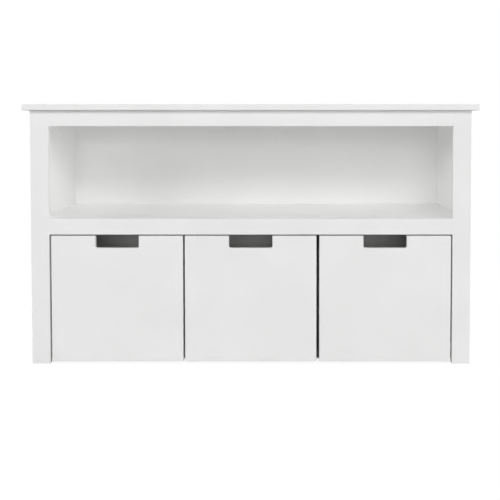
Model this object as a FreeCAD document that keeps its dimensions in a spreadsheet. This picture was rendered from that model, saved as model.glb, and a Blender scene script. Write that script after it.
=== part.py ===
import FreeCAD
import Part
import os
import re
import Sketcher

# Toy storage unit: a low cabinet with an open display compartment above three rolling bins.
# Millimetres. The front faces -Y and +Z is up.
# The origin is on the floor, under the middle of the top board.

# Driving sizes
SIZES = {
    # Cabinet boards
    "top_width": 1182,
    "top_depth": 400,
    "top_thickness": 16,
    "top_edge_round": 2,
    "side_overhang": 17,
    "front_overhang": 15,
    "cabinet_height": 680,
    "side_thickness": 15,
    "stile_width": 47,
    "frame_thickness": 15,
    "top_rail_height": 41,
    "display_height": 241,
    "shelf_rail_height": 42,
    "shelf_thickness": 15,
    "rear_rail_thickness": 15,
    "top_rear_rail_height": 40,
    "shelf_rear_rail_height": 42,
    "bottom_rear_rail_height": 60,
    "edge_round": 0.8,
    # Back panel, let into rabbets in the side panels
    "back_thickness": 3,
    "back_inset": 2,
    "back_rabbet_width": 8,
    "back_edge_gap": 0.5,
    "back_floor_gap": 12,
    # Holes through the top rear rail and the back panel, for fixing the cabinet to a wall
    "wall_hole_radius": 2.75,
    "wall_hole_spacing": 600,
    # Room around the bins
    "gap_left": 4.6,
    "gap_left_middle": 5.3,
    "gap_middle_right": 7.8,
    "gap_right": 3.7,
    "bin_setback": 1,
    "bin_head_gap": 3.5,
    "bin_floor_gap": 5.5,
    "bin_rear_gap": 0.3,
    # Bin boards
    "bin_front_thickness": 15,
    "bin_side_thickness": 15,
    "bin_back_thickness": 15,
    "bin_base_thickness": 12,
    "bin_side_inset": 3,
    "handle_width": 114,
    "handle_depth": 32,
    "handle_round": 5,
    # Castors
    "castor_margin": 14,
    "plate_width": 40,
    "plate_length": 46,
    "plate_thickness": 1.5,
    "plate_round": 4,
    "leg_thickness": 1.5,
    "leg_length": 26,
    "leg_end_radius": 6,
    "leg_play": 0.5,
    "wheel_radius": 15,
    "wheel_width": 12,
    "wheel_headroom": 2.5,
    "wheel_rim": 4,
    "wheel_web": 6,
    "wheel_hub_radius": 5,
    "tread_round": 2,
    "axle_radius": 2,
    "axle_play": 0.08,
    "axle_seat_play": 0.05,
    "axle_head_radius": 3.5,
    "axle_head_thickness": 1.2,
    "castor_screw_radius": 1.75,
    "castor_screw_length": 10.5,
    "castor_screw_point": 2,
    "castor_screw_edge": 6.5,
    "castor_screw_head_radius": 3.1,
    "castor_screw_head_height": 1.8,
    # Wood dowels
    "dowel_radius": 4,
    "dowel_face_depth": 9,
    "dowel_edge_depth": 20,
    # Cam fittings
    "cam_lock_radius": 7.5,
    "cam_lock_depth": 11.5,
    "cam_drive_depth": 7.5,
    "cam_slot_length": 9,
    "cam_slot_width": 1.6,
    "cam_slot_depth": 2,
    "cam_distance": 34,
    "cam_bolt_radius": 3,
    "cam_bolt_seat": 9.5,
    "cam_bolt_grip": 4,
    # Board screws, with sunk heads
    "screw_radius": 2.8,
    "screw_length": 45,
    "screw_point": 3,
    "screw_head_radius": 4.75,
    "screw_head_depth": 2.5,
    "screw_cone_depth": 2,
    "screw_socket_radius": 2.3,
    "screw_socket_depth": 2.2,
    # Back panel nails
    "nail_radius": 0.9,
    "nail_length": 16,
    "nail_head_radius": 2.4,
    "nail_head_thickness": 0.8,
    # Room between a fastener and its hole, around it and past its end, and how far cuts overrun
    "hole_play": 0.1,
    "hole_end_gap": 0.5,
    "cut_overrun": 1,
}

# Places and sizes that follow from the driving sizes
FORMULAS = {
    "carcass_half": "top_width / 2 - side_overhang",
    "inner_half": "carcass_half - side_thickness",
    "stile_half": "carcass_half - stile_width",
    "carcass_height": "cabinet_height - top_thickness",
    "front_face": "front_overhang - top_depth / 2",
    "frame_back": "front_face + frame_thickness",
    "frame_middle": "front_face + frame_thickness / 2",
    "rear_face": "top_depth / 2",
    "back_outer": "rear_face - back_inset",
    "back_face": "back_outer - back_thickness",
    "rear_rail_front": "back_face - rear_rail_thickness",
    "rear_rail_middle": "back_face - rear_rail_thickness / 2",
    "shelf_top": "carcass_height - top_rail_height - display_height",
    "shelf_under": "shelf_top - shelf_thickness",
    "bay_height": "shelf_top - shelf_rail_height",
    "top_rear_rail_low": "carcass_height - top_rear_rail_height",
    "shelf_rear_rail_low": "shelf_under - shelf_rear_rail_height",
    "wall_hole_height": "carcass_height - top_rear_rail_height / 2",
    "bin_width": "(2 * stile_half - gap_left - gap_left_middle - gap_middle_right - gap_right) / 3",
    "bin_half": "bin_width / 2",
    "bin_height": "bay_height - bin_head_gap - bin_floor_gap",
    "bin_front": "front_face + bin_setback",
    "bin_front_back": "bin_front + bin_front_thickness",
    "bin_rear": "rear_rail_front - bin_rear_gap",
    "bin_back_front": "bin_rear - bin_back_thickness",
    "bin_outer": "bin_half - bin_side_inset",
    "bin_inner": "bin_outer - bin_side_thickness",
    "bin_under": "2 * wheel_radius + wheel_headroom + plate_thickness",
    "left_bin_middle": "gap_left + bin_half - stile_half",
    "middle_bin_middle": "left_bin_middle + bin_width + gap_left_middle",
    "right_bin_middle": "middle_bin_middle + bin_width + gap_middle_right",
    "castor_side": "bin_inner - castor_margin - plate_width / 2",
    "castor_front": "bin_front_back + castor_margin + plate_length / 2",
    "castor_rear": "bin_back_front - castor_margin - plate_length / 2",
    "axle_drop": "plate_thickness + wheel_headroom + wheel_radius",
    "fork_width": "wheel_width + 2 * leg_play + 2 * leg_thickness",
}

# Places of fasteners, as shares of the run that they are spread over
BOARD_CAM_SHARES = (0.14, 0.82)
BOARD_DOWEL_SHARES = (0.34, 0.62)
STILE_DOWEL_SHARES = (0.06, 0.3, 0.7, 0.9)
RAIL_END_DOWEL_SHARES = (0.28, 0.72)
RAIL_LENGTH_DOWEL_SHARES = (0.12, 0.38, 0.62, 0.88)
REAR_RAIL_CAM_SHARE = 0.68
REAR_RAIL_DOWEL_SHARE = 0.24
TOP_REAR_DOWEL_SHARES = (0.28, 0.72)
SIDE_NAIL_SHARES = (0.12, 0.28, 0.44, 0.68, 0.86)
RAIL_NAIL_SHARES = (0.1, 0.3, 0.5, 0.7, 0.9)
BIN_CAM_SHARES = (0.3, 0.82)
BASE_SCREW_SHARES = (0.12, 0.5, 0.88)
BACK_SCREW_SHARES = (0.26, 0.6, 0.9)
MIDDLE_SHARE = 0.5

# Two measures nearer than this are the same
TOLERANCE = 1e-6

RIGHT = FreeCAD.Vector(1, 0, 0)
LEFT = FreeCAD.Vector(-1, 0, 0)
REARWARD = FreeCAD.Vector(0, 1, 0)
FORWARD = FreeCAD.Vector(0, -1, 0)
UP = FreeCAD.Vector(0, 0, 1)
DOWN = FreeCAD.Vector(0, 0, -1)

doc = FreeCAD.newDocument("toy_storage_unit")
nodes = []


# Sheet and formulas

def make_sheet():
    sheet = doc.addObject("Spreadsheet::Sheet", "dims")
    for row, (name, size) in enumerate(SIZES.items(), start=1):
        sheet.set(f"A{row}", name)
        sheet.set(f"B{row}", str(size))
        sheet.setAlias(f"B{row}", name)
    doc.recompute()
    return sheet


def expand(formula):
    """Write a formula out in the sheet's own cells."""
    def swap(match):
        word = match.group()
        if word in FORMULAS:
            return "(" + expand(FORMULAS[word]) + ")"
        return "dims." + word if word in SIZES else word
    return re.sub(r"[a-z_]+", swap, formula)


def value(formula):
    return float(dims.evalExpression(expand(formula)))


def bind(obj, prop, formula):
    obj.setExpression(prop, expand(formula))


def along(start, end, share):
    return f"({start}) + {share} * (({end}) - ({start}))"


def place(obj, at, rotation=None):
    if rotation is not None:
        obj.Placement = FreeCAD.Placement(FreeCAD.Vector(), rotation)
    for axis, formula in zip("xyz", at):
        bind(obj, f"Placement.Base.{axis}", formula)
    return obj


def facing(z_axis, x_axis=None):
    """Turn a piece so that its own Z, and its own X where that matters, point these ways."""
    if x_axis is None:
        return FreeCAD.Rotation(UP, z_axis)
    return FreeCAD.Rotation(x_axis, z_axis.cross(x_axis), z_axis, "ZXY")


# Sketches and features

def sketch_on(body, role, name):
    plane = next(item for item in body.Origin.OriginFeatures if item.Role == role)
    sketch = body.newObject("Sketcher::SketchObject", name)
    sketch.AttachmentSupport = [(plane, "")]
    sketch.MapMode = "FlatFace"
    return sketch


def pin_point(sketch, geometry, point, at):
    """Hold a point of the sketch at two formulas, on the axes where they are zero."""
    for kind, axis, formula in (("DistanceX", -2, at[0]), ("DistanceY", -1, at[1])):
        if formula == "0":
            sketch.addConstraint(Sketcher.Constraint("PointOnObject", geometry, point, axis))
            continue
        held = Sketcher.Constraint(kind, -1, 1, geometry, point, value(formula))
        bind(sketch, f"Constraints[{sketch.addConstraint(held)}]", formula)


def draw_outline(sketch, corners):
    points = [FreeCAD.Vector(value(x), value(y), 0) for x, y in corners]
    first = sketch.GeometryCount
    count = len(points)
    for i in range(count):
        sketch.addGeometry(Part.LineSegment(points[i], points[(i + 1) % count]), False)
    for i in range(count):
        follower = first + (i + 1) % count
        sketch.addConstraint(Sketcher.Constraint("Coincident", first + i, 2, follower, 1))
    for i, corner in enumerate(corners):
        pin_point(sketch, first + i, 1, corner)


def draw_rectangle(sketch, low, high):
    draw_outline(sketch, [low, (high[0], low[1]), high, (low[0], high[1])])


def draw_circle(sketch, at, radius):
    middle = FreeCAD.Vector(value(at[0]), value(at[1]), 0)
    circle = sketch.addGeometry(Part.Circle(middle, UP, value(radius)), False)
    pin_point(sketch, circle, 3, at)
    sized = sketch.addConstraint(Sketcher.Constraint("Radius", circle, value(radius)))
    bind(sketch, f"Constraints[{sized}]", radius)


def extrude(body, sketch, length, kind="Pad", reverse=False, both_ways=False):
    feature = body.newObject(f"PartDesign::{kind}", f"{kind.lower()}_{sketch.Name}")
    feature.Profile = sketch
    feature.Reversed = reverse
    if both_ways:
        feature.SideType = "Symmetric"
    bind(feature, "Length", length)
    before = feature.BaseFeature.Shape.Volume if feature.BaseFeature else 0
    doc.recompute()
    grown = feature.Shape.Volume - before
    if grown * (1 if kind == "Pad" else -1) <= 0:
        raise RuntimeError(f"{feature.Name} changes nothing")
    return feature


def round_edges(body, feature, radius, wanted=None):
    """Fillet the edges of a feature that wanted picks, or all of them."""
    fillet = body.newObject("PartDesign::Fillet", "rounding")
    edges = enumerate(feature.Shape.Edges, start=1)
    picked = [f"Edge{i}" for i, edge in edges if wanted is None or wanted(edge)]
    fillet.Base = (feature, picked)
    bind(fillet, "Radius", radius)
    doc.recompute()
    return fillet


def turned(name, profile):
    """Body turned about its own Z from a profile of radius and height."""
    body = doc.addObject("PartDesign::Body", name)
    sketch = sketch_on(body, "XZ_Plane", f"{name}_profile")
    draw_outline(sketch, profile)
    feature = body.newObject("PartDesign::Revolution", f"{name}_turning")
    feature.Profile = sketch
    feature.ReferenceAxis = (sketch, ["V_Axis"])
    doc.recompute()
    return body


def board(name, low, high, rounding="edge_round"):
    """Board between two corners, with its edges eased."""
    body = doc.addObject("PartDesign::Body", name)
    length, width, height = [f"({b}) - ({a})" for a, b in zip(low, high)]
    sketch = sketch_on(body, "XY_Plane", f"{name}_outline")
    draw_rectangle(sketch, ("0", "0"), (length, width))
    pad = extrude(body, sketch, height)
    round_edges(body, pad, rounding)
    return place(body, low)


# Primitives and booleans

def rod(name, radius, low, high):
    """Cylinder on its own Z axis between two heights."""
    cylinder = doc.addObject("Part::Cylinder", name)
    bind(cylinder, "Radius", radius)
    bind(cylinder, "Height", f"({high}) - ({low})")
    return place(cylinder, ("0", "0", low))


def block(name, low, high):
    box = doc.addObject("Part::Box", name)
    for prop, a, b in zip(("Length", "Width", "Height"), low, high):
        bind(box, prop, f"({b}) - ({a})")
    return place(box, low)


def group(name, members):
    compound = doc.addObject("Part::Compound", name)
    compound.Links = members
    return compound


def copy_of(original, at, rotation=None):
    return place(group(f"{original.Name}_copy", [original]), at, rotation)


def cut(name, base, tools):
    result = doc.addObject("Part::Cut", name)
    result.Base = base
    result.Tool = group(f"{name}_tools", tools)
    return result


def fuse(name, base, tool):
    result = doc.addObject("Part::Fuse", name)
    result.Base = base
    result.Tool = tool
    return result


def keep(obj, label):
    """Hand a finished piece in under its own name."""
    obj.Label = label
    nodes.append(obj)


# Fasteners, each drawn once and copied to its places

class Boards:
    """Boards by name, with the holes that fasteners need in them."""

    def __init__(self):
        self.blanks = {}
        self.holes = {}

    def add(self, name, low, high, rounding="edge_round"):
        self.take(name, board(f"{name}_blank", low, high, rounding))

    def take(self, name, blank):
        self.blanks[name] = blank
        self.holes[name] = []

    def drill(self, names, tool):
        for name in names:
            self.holes[name].append(tool)

    def finished(self):
        for name, blank in self.blanks.items():
            tools = self.holes[name]
            yield name, cut(f"{name}_drilled", blank, tools) if tools else blank


def make_dowel():
    return rod("dowel", "dowel_radius", "-dowel_face_depth", "dowel_edge_depth")


def make_dowel_hole():
    return rod(
        "dowel_hole",
        "dowel_radius + hole_play",
        "-dowel_face_depth - hole_end_gap",
        "dowel_edge_depth + hole_end_gap",
    )


def cam_bolt_rod(name, play, low, high):
    """Rod on the bolt's axis, which lies below the face that the lock sits in."""
    bolt = rod(name, f"cam_bolt_radius + {play}", low, high)
    bind(bolt, "Placement.Base.x", "-cam_drive_depth")
    return bolt


def cam_lock_rod(name, play, depth):
    """Rod on the lock's axis, sunk into the face from the plane of its own X and Z."""
    lock = rod(name, f"cam_lock_radius + {play}", "0", depth)
    return place(lock, ("0", "0", "cam_distance"), facing(LEFT))


def make_cam_bolt():
    tip = "cam_distance - cam_lock_radius + cam_bolt_grip"
    return cam_bolt_rod("cam_bolt", "0", "-cam_bolt_seat", tip)


def make_cam_lock():
    housing = cam_lock_rod("cam_housing", "0", "cam_lock_depth")
    socket = cam_bolt_rod(
        "cam_socket",
        "hole_play",
        "cam_distance - cam_lock_radius - cut_overrun",
        "cam_distance - cam_lock_radius + cam_bolt_grip + hole_end_gap",
    )
    slot = block(
        "cam_slot",
        ("-cam_slot_depth", "-cam_slot_length / 2", "cam_distance - cam_slot_width / 2"),
        ("cut_overrun", "cam_slot_length / 2", "cam_distance + cam_slot_width / 2"),
    )
    return cut("cam_lock", housing, [socket, slot])


def make_cam_hole():
    pocket = cam_lock_rod("cam_pocket", "hole_play", "cam_lock_depth + hole_end_gap")
    passage = cam_bolt_rod("cam_passage", "hole_play", "-cam_bolt_seat - hole_end_gap", "cam_distance")
    return fuse("cam_hole", pocket, passage)


def screw_profile(play, end):
    return [
        ("0", "0"),
        (f"screw_head_radius + {play}", "0"),
        (f"screw_head_radius + {play}", "screw_head_depth"),
        (f"screw_radius + {play}", "screw_head_depth + screw_cone_depth"),
        (f"screw_radius + {play}", f"screw_length - screw_point + {end}"),
        ("0", f"screw_length + {end}"),
    ]


def make_screw():
    socket = doc.addObject("Part::Prism", "screw_socket")
    socket.Polygon = 6
    bind(socket, "Circumradius", "screw_socket_radius")
    bind(socket, "Height", "screw_socket_depth + cut_overrun")
    bind(socket, "Placement.Base.z", "-cut_overrun")
    return cut("screw", turned("screw_blank", screw_profile("0", "0")), [socket])


def make_screw_hole():
    return turned("screw_hole", screw_profile("hole_play", "hole_end_gap"))


def make_nail():
    return turned("nail", [
        ("0", "-nail_head_thickness"),
        ("nail_head_radius", "-nail_head_thickness"),
        ("nail_head_radius", "0"),
        ("nail_radius", "0"),
        ("nail_radius", "nail_length - 2 * nail_radius"),
        ("0", "nail_length"),
    ])


def make_nail_hole():
    return rod("nail_hole", "nail_radius + hole_play", "-cut_overrun", "nail_length + hole_end_gap")


# Castor pieces, drawn about their own axes

def make_castor_bracket():
    """Pressed plate with two legs. Its top face is at zero height and its wheel turns about X."""
    body = doc.addObject("PartDesign::Body", "castor_bracket")
    plate_sketch = sketch_on(body, "XY_Plane", "plate_outline")
    draw_rectangle(
        plate_sketch,
        ("-plate_width / 2", "-plate_length / 2"),
        ("plate_width / 2", "plate_length / 2"),
    )
    for x, y in castor_screw_places():
        draw_circle(plate_sketch, (x, y), "castor_screw_radius + hole_play")
    plate = extrude(body, plate_sketch, "plate_thickness", reverse=True)
    round_edges(body, plate, "plate_round", lambda edge: is_plain_line_along(edge, UP))

    leg_sketch = sketch_on(body, "YZ_Plane", "leg_outline")
    draw_outline(leg_sketch, [
        ("-leg_length / 2", "-plate_thickness"),
        ("-leg_end_radius", "-axle_drop"),
        ("leg_end_radius", "-axle_drop"),
        ("leg_length / 2", "-plate_thickness"),
    ])
    extrude(body, leg_sketch, "fork_width", both_ways=True)
    end_sketch = sketch_on(body, "YZ_Plane", "leg_end")
    draw_circle(end_sketch, ("0", "-axle_drop"), "leg_end_radius")
    extrude(body, end_sketch, "fork_width", both_ways=True)

    gap_sketch = sketch_on(body, "XZ_Plane", "wheel_gap")
    draw_rectangle(
        gap_sketch,
        ("-wheel_width / 2 - leg_play", "-axle_drop - leg_end_radius - cut_overrun"),
        ("wheel_width / 2 + leg_play", "-plate_thickness"),
    )
    extrude(body, gap_sketch, "leg_length + 2 * cut_overrun", "Pocket", both_ways=True)
    hole_sketch = sketch_on(body, "YZ_Plane", "axle_hole")
    draw_circle(hole_sketch, ("0", "-axle_drop"), "axle_radius + axle_seat_play")
    extrude(body, hole_sketch, "fork_width + 2 * cut_overrun", "Pocket", both_ways=True)
    return body


def is_plain_line_along(edge, direction):
    if not isinstance(edge.Curve, Part.Line):
        return False
    return edge.Curve.Direction.cross(direction).Length < TOLERANCE


def castor_screw_places():
    for side in "-", "":
        for end in "-", "":
            yield (
                f"{side}(plate_width / 2 - castor_screw_edge)",
                f"{end}(plate_length / 2 - castor_screw_edge)",
            )


def make_castor_axle():
    return turned("castor_axle", [
        ("0", "-fork_width / 2 - axle_head_thickness"),
        ("axle_head_radius", "-fork_width / 2 - axle_head_thickness"),
        ("axle_head_radius", "-fork_width / 2"),
        ("axle_radius", "-fork_width / 2"),
        ("axle_radius", "fork_width / 2"),
        ("axle_head_radius", "fork_width / 2"),
        ("axle_head_radius", "fork_width / 2 + axle_head_thickness"),
        ("0", "fork_width / 2 + axle_head_thickness"),
    ])


def make_castor_wheel():
    body = turned("castor_wheel", [
        ("axle_radius + axle_play", "-wheel_width / 2"),
        ("wheel_hub_radius", "-wheel_width / 2"),
        ("wheel_hub_radius", "-wheel_web / 2"),
        ("wheel_radius - wheel_rim", "-wheel_web / 2"),
        ("wheel_radius - wheel_rim", "-wheel_width / 2"),
        ("wheel_radius", "-wheel_width / 2"),
        ("wheel_radius", "wheel_width / 2"),
        ("wheel_radius - wheel_rim", "wheel_width / 2"),
        ("wheel_radius - wheel_rim", "wheel_web / 2"),
        ("wheel_hub_radius", "wheel_web / 2"),
        ("wheel_hub_radius", "wheel_width / 2"),
        ("axle_radius + axle_play", "wheel_width / 2"),
    ])
    tread = value("wheel_radius")
    round_edges(
        body,
        body.Tip,
        "tread_round",
        lambda edge: isinstance(edge.Curve, Part.Circle) and abs(edge.Curve.Radius - tread) < TOLERANCE,
    )
    return body


def make_castor_screw():
    return turned("castor_screw", [
        ("0", "-castor_screw_head_height"),
        ("castor_screw_head_radius - castor_screw_head_height / 2", "-castor_screw_head_height"),
        ("castor_screw_head_radius", "-castor_screw_head_height / 2"),
        ("castor_screw_head_radius", "0"),
        ("castor_screw_radius", "0"),
        ("castor_screw_radius", "castor_screw_length - castor_screw_point"),
        ("0", "castor_screw_length"),
    ])


def make_castor_screw_hole():
    return rod(
        "castor_screw_hole",
        "castor_screw_radius + hole_play",
        "plate_thickness - cut_overrun",
        "castor_screw_length + hole_end_gap",
    )


# Cabinet

def add_cabinet_boards(boards):
    boards.add(
        "top_panel",
        ("-top_width / 2", "-top_depth / 2", "carcass_height"),
        ("top_width / 2", "top_depth / 2", "cabinet_height"),
        "top_edge_round",
    )
    boards.add(
        "left_side_panel",
        ("-carcass_half", "frame_back", "0"),
        ("-inner_half", "rear_face", "carcass_height"),
    )
    boards.add(
        "right_side_panel",
        ("inner_half", "frame_back", "0"),
        ("carcass_half", "rear_face", "carcass_height"),
    )
    boards.add(
        "left_front_stile",
        ("-carcass_half", "front_face", "0"),
        ("-stile_half", "frame_back", "carcass_height"),
    )
    boards.add(
        "right_front_stile",
        ("stile_half", "front_face", "0"),
        ("carcass_half", "frame_back", "carcass_height"),
    )
    boards.add(
        "top_front_rail",
        ("-stile_half", "front_face", "carcass_height - top_rail_height"),
        ("stile_half", "frame_back", "carcass_height"),
    )
    boards.add(
        "shelf_front_rail",
        ("-stile_half", "front_face", "bay_height"),
        ("stile_half", "frame_back", "shelf_top"),
    )
    boards.add(
        "shelf_panel",
        ("-inner_half", "frame_back", "shelf_under"),
        ("inner_half", "back_face", "shelf_top"),
    )
    boards.add(
        "back_panel",
        ("back_edge_gap - inner_half - back_rabbet_width", "back_face", "back_floor_gap"),
        ("inner_half + back_rabbet_width - back_edge_gap", "back_outer", "carcass_height"),
    )
    for name, low, high in rear_rails():
        boards.add(name, ("-inner_half", "rear_rail_front", low), ("inner_half", "back_face", high))


def rear_rails():
    return (
        ("top_rear_rail", "top_rear_rail_low", "carcass_height"),
        ("shelf_rear_rail", "shelf_rear_rail_low", "shelf_under"),
        ("bottom_rear_rail", "back_floor_gap", "back_floor_gap + bottom_rear_rail_height"),
    )


def cut_back_rabbets(boards):
    deep = ("back_face", "rear_face + cut_overrun")
    tall = ("-cut_overrun", "carcass_height + cut_overrun")
    inside = "inner_half - cut_overrun"
    outside = "inner_half + back_rabbet_width"
    right = block("right_rabbet", (inside, deep[0], tall[0]), (outside, deep[1], tall[1]))
    left = block("left_rabbet", (f"-({outside})", deep[0], tall[0]), (f"-({inside})", deep[1], tall[1]))
    boards.drill(["right_side_panel"], right)
    boards.drill(["left_side_panel"], left)


def drill_wall_holes(boards):
    through = "back_outer - rear_rail_front + cut_overrun"
    wall_hole = rod("wall_hole", "wall_hole_radius", "-cut_overrun", through)
    for side in "-", "":
        at = (f"{side}wall_hole_spacing / 2", "rear_rail_front", "wall_hole_height")
        boards.drill(["top_rear_rail", "back_panel"], copy_of(wall_hole, at, facing(REARWARD)))


def cabinet_dowel_places():
    """Where each dowel crosses a joint, the way it points, the face board and the edge board."""
    board_middle = "carcass_half - side_thickness / 2"
    shelf_middle = "shelf_top - shelf_thickness / 2"
    for side, sign, inward in ("left", "-", RIGHT), ("right", "", LEFT):
        panel = f"{side}_side_panel"
        stile = f"{side}_front_stile"
        for share in BOARD_DOWEL_SHARES:
            depth = along("frame_back", "rear_face", share)
            yield (f"{sign}({board_middle})", depth, "carcass_height"), DOWN, "top_panel", panel
            yield (f"{sign}inner_half", depth, shelf_middle), inward, panel, "shelf_panel"
        for share in STILE_DOWEL_SHARES:
            height = along("0", "carcass_height", share)
            yield (f"{sign}({board_middle})", "frame_back", height), REARWARD, stile, panel
        for share in RAIL_END_DOWEL_SHARES:
            for rail, low, high in (
                ("top_front_rail", "carcass_height - top_rail_height", "carcass_height"),
                ("shelf_front_rail", "bay_height", "shelf_top"),
            ):
                yield (f"{sign}stile_half", "frame_middle", along(low, high, share)), inward, stile, rail
        for rail, low, high in rear_rails():
            height = along(low, high, REAR_RAIL_DOWEL_SHARE)
            yield (f"{sign}inner_half", "rear_rail_middle", height), inward, panel, rail
    for share in RAIL_LENGTH_DOWEL_SHARES:
        across = along("-stile_half", "stile_half", share)
        yield (across, "frame_middle", "carcass_height"), DOWN, "top_panel", "top_front_rail"
        yield (across, "frame_back", shelf_middle), REARWARD, "shelf_front_rail", "shelf_panel"
    for share in TOP_REAR_DOWEL_SHARES:
        across = along("-inner_half", "inner_half", share)
        yield (across, "rear_rail_middle", "carcass_height"), DOWN, "top_panel", "top_rear_rail"


def cabinet_cam_places():
    """Where each lock's face meets a joint, the bolt's way, the face's way and their two boards."""
    for side, sign, inward in ("left", "-", RIGHT), ("right", "", LEFT):
        panel = f"{side}_side_panel"
        for share in BOARD_CAM_SHARES:
            depth = along("frame_back", "rear_face", share)
            yield (f"{sign}inner_half", depth, "carcass_height"), DOWN, inward, "top_panel", panel
            yield (f"{sign}inner_half", depth, "shelf_under"), inward, DOWN, panel, "shelf_panel"
        for rail, low, high in rear_rails():
            height = along(low, high, REAR_RAIL_CAM_SHARE)
            yield (f"{sign}inner_half", "rear_rail_front", height), inward, FORWARD, panel, rail


def cabinet_nail_places():
    """Where each nail's head lies on the back panel, and the board that it goes into."""
    for side, sign in ("left", "-"), ("right", ""):
        for share in SIDE_NAIL_SHARES:
            height = along("back_floor_gap", "carcass_height", share)
            across = f"{sign}(inner_half + back_rabbet_width / 2)"
            yield (across, "back_outer", height), f"{side}_side_panel"
    for share in RAIL_NAIL_SHARES:
        across = along("-inner_half", "inner_half", share)
        yield (across, "back_outer", "shelf_top - shelf_thickness / 2"), "shelf_panel"
        for rail, low, high in rear_rails():
            if rail != "shelf_rear_rail":
                yield (across, "back_outer", along(low, high, MIDDLE_SHARE)), rail


def build_cabinet(fasteners):
    boards = Boards()
    add_cabinet_boards(boards)
    cut_back_rabbets(boards)
    drill_wall_holes(boards)
    dowels = []
    for at, way, face_board, edge_board in cabinet_dowel_places():
        dowels.append(copy_of(fasteners["dowel"], at, facing(way)))
        boards.drill([face_board, edge_board], copy_of(fasteners["dowel_hole"], at, facing(way)))
    cams = []
    for at, way, face_way, bolt_board, lock_board in cabinet_cam_places():
        turn = facing(way, face_way)
        cams += [copy_of(fasteners["cam_bolt"], at, turn), copy_of(fasteners["cam_lock"], at, turn)]
        boards.drill([bolt_board, lock_board], copy_of(fasteners["cam_hole"], at, turn))
    nails = []
    for at, edge_board in cabinet_nail_places():
        nails.append(copy_of(fasteners["nail"], at, facing(FORWARD)))
        boards.drill(["back_panel", edge_board], copy_of(fasteners["nail_hole"], at, facing(FORWARD)))
    for name, finished in boards.finished():
        keep(finished, name)
    keep(group("dowels_group", dowels), "wood_dowels")
    keep(group("cams_group", cams), "cam_fittings")
    keep(group("nails_group", nails), "back_panel_nails")


# Bins, drawn once about their own middle and copied to three places

def make_bin_front():
    """Front board with the finger cut-out in its top edge."""
    body = doc.addObject("PartDesign::Body", "bin_front_blank")
    sketch = sketch_on(body, "XZ_Plane", "bin_front_outline")
    draw_outline(sketch, [
        ("-bin_half", "0"),
        ("bin_half", "0"),
        ("bin_half", "bin_height"),
        ("handle_width / 2", "bin_height"),
        ("handle_width / 2", "bin_height - handle_depth"),
        ("-handle_width / 2", "bin_height - handle_depth"),
        ("-handle_width / 2", "bin_height"),
        ("-bin_half", "bin_height"),
    ])
    pad = extrude(body, sketch, "bin_front_thickness", reverse=True)
    corner = value("handle_width / 2")
    notch = round_edges(
        body,
        pad,
        "handle_round",
        lambda edge: is_plain_line_along(edge, REARWARD)
        and abs(abs(edge.CenterOfMass.x) - corner) < TOLERANCE
        and edge.CenterOfMass.z < value("bin_height - handle_depth / 2"),
    )
    faces = (0, value("bin_front_thickness"))
    round_edges(
        body,
        notch,
        "edge_round",
        lambda edge: any(abs(v.Y - y) < TOLERANCE for y in faces for v in edge.Vertexes)
        and not is_plain_line_along(edge, REARWARD),
    )
    return place(body, ("0", "bin_front", "bin_floor_gap"))


def add_bin_boards(boards):
    low = "bin_floor_gap"
    high = "bin_floor_gap + bin_height"
    boards.take("front", make_bin_front())
    boards.add("left_side", ("-bin_outer", "bin_front_back", low), ("-bin_inner", "bin_rear", high))
    boards.add("right_side", ("bin_inner", "bin_front_back", low), ("bin_outer", "bin_rear", high))
    boards.add("back", ("-bin_inner", "bin_back_front", low), ("bin_inner", "bin_rear", high))
    boards.add(
        "base",
        ("-bin_inner", "bin_front_back", "bin_under"),
        ("bin_inner", "bin_back_front", "bin_under + bin_base_thickness"),
    )


def bin_screw_places():
    """Where each screw's head lies in a bin's side, the way it points, the side and the board it holds."""
    base_middle = "bin_under + bin_base_thickness / 2"
    back_middle = "bin_rear - bin_back_thickness / 2"
    for side, sign, inward in ("left_side", "-", RIGHT), ("right_side", "", LEFT):
        for share in BASE_SCREW_SHARES:
            depth = along("bin_front_back", "bin_back_front", share)
            yield (f"{sign}bin_outer", depth, base_middle), inward, side, "base"
        for share in BACK_SCREW_SHARES:
            height = along("bin_floor_gap", "bin_floor_gap + bin_height", share)
            yield (f"{sign}bin_outer", back_middle, height), inward, side, "back"


def bin_cam_places():
    for side, sign, inward in ("left_side", "-", RIGHT), ("right_side", "", LEFT):
        for share in BIN_CAM_SHARES:
            height = along("bin_floor_gap", "bin_floor_gap + bin_height", share)
            yield (f"{sign}bin_inner", "bin_front_back", height), REARWARD, inward, "front", side


def castor_places():
    for row, depth in ("front", "castor_front"), ("rear", "castor_rear"):
        for side, sign in ("left", "-"), ("right", ""):
            yield f"{row}_{side}", f"{sign}castor_side", depth


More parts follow.
